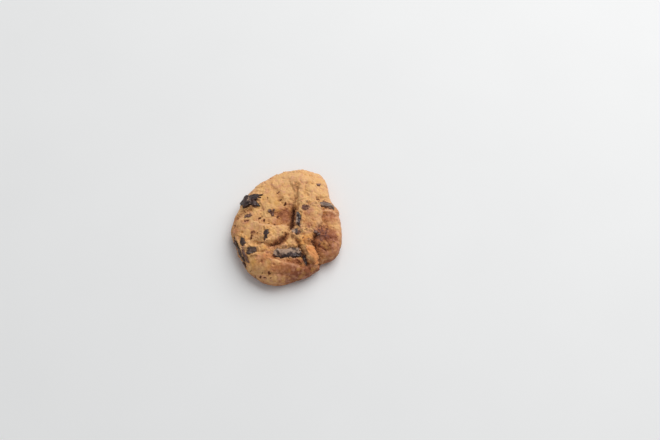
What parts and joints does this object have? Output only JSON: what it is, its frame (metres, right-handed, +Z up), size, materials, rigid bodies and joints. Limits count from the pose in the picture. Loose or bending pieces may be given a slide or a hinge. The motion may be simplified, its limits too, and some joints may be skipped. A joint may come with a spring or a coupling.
{
  "type": "cookie",
  "caption": "Round drop cookie of baked dough with a folded, cracked top, a flat underside and broken dark chocolate chunks set in it.",
  "frame": {"origin": "on the plane of the flat foot, below the middle of the whole cookie's box", "axes": "+Z up out of the foot, +Y along the cookie's longer way, towards the end that the long crevice starts from, +X towards the lower lobe beside the ridge"},
  "size_m": [0.0632, 0.07, 0.0172],
  "materials": {
    "baked_dough": "matte",
    "dark_chocolate": "satin",
    "bloomed_chocolate": "matte"
  },
  "bodies": {
    "root": {"cookie_dough": "baked_dough", "chunk_left": "dark_chocolate", "chunk_front": "bloomed_chocolate", "chunk_right": "bloomed_chocolate", "chunk_crevice": "dark_chocolate", "chunk_crevice_low": "dark_chocolate", "chunk_low_left": "dark_chocolate", "chip_low_left": "dark_chocolate", "chip_middle": "dark_chocolate", "chip_front_right": "dark_chocolate", "slab_side": "dark_chocolate"}
  },
  "joints": []
}
